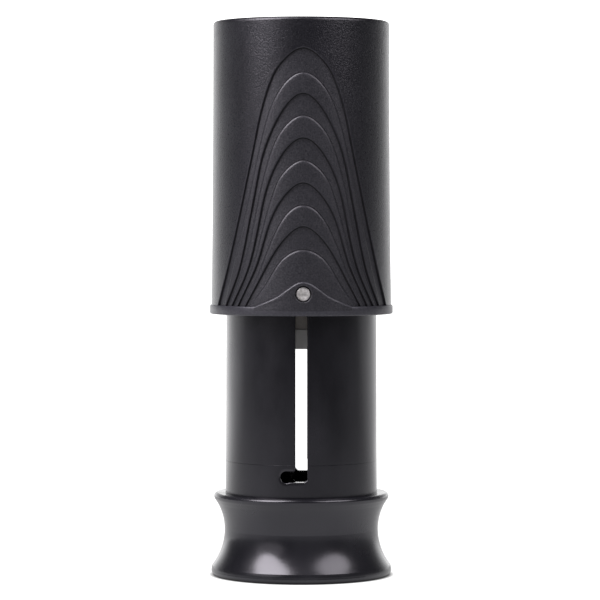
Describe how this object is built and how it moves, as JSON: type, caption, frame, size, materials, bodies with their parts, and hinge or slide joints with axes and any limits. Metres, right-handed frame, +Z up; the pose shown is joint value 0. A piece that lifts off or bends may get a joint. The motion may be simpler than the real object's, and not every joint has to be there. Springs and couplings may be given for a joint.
{
  "type": "hand vacuum pump",
  "caption": "Hand vacuum pump for a stoppered bottle: ribbed sliding grip on a slotted post with a flared foot, cross pin and twist-lock notches.",
  "frame": {"origin": "centre of the foot's bottom face", "axes": "+Z up along the pump's axis; the pin's head and the left-going lock notch face -Y; +X is to the right seen from that side"},
  "size_m": [0.0516, 0.0516, 0.156],
  "materials": {
    "grip_plastic": "spark-eroded satin",
    "post_plastic": "smooth satin",
    "foot_plastic": "semi-gloss",
    "inner_plastic": "smooth",
    "guide_plastic": "smooth",
    "pin_steel": "cut and slightly rough",
    "seal_rubber": "moulded"
  },
  "bodies": {
    "base": {"guide_tube": "post_plastic", "foot": "foot_plastic", "socket_ring": "post_plastic", "seat_seal": "seal_rubber", "piston_rod": "inner_plastic", "cup_seal": "seal_rubber", "piston_head": "inner_plastic", "piston_screws": "pin_steel", "valve_cage": "guide_plastic"},
    "handle": {"handle_sleeve": "grip_plastic", "handle_cap": "grip_plastic", "pump_cylinder": "inner_plastic", "guide_ring": "guide_plastic", "cross_pin": "pin_steel"},
    "valve": {"valve_disc": "seal_rubber"}
  },
  "joints": [
    {"name": "handle_slide", "type": "slide", "parent": "base", "child": "handle", "axis": [0, 0, 1], "range_m": [-0.0504, 0]},
    {"name": "valve_lift", "type": "slide", "parent": "base", "child": "valve", "axis": [0, 0, 1], "range_m": [0, 0.0008]}
  ]
}
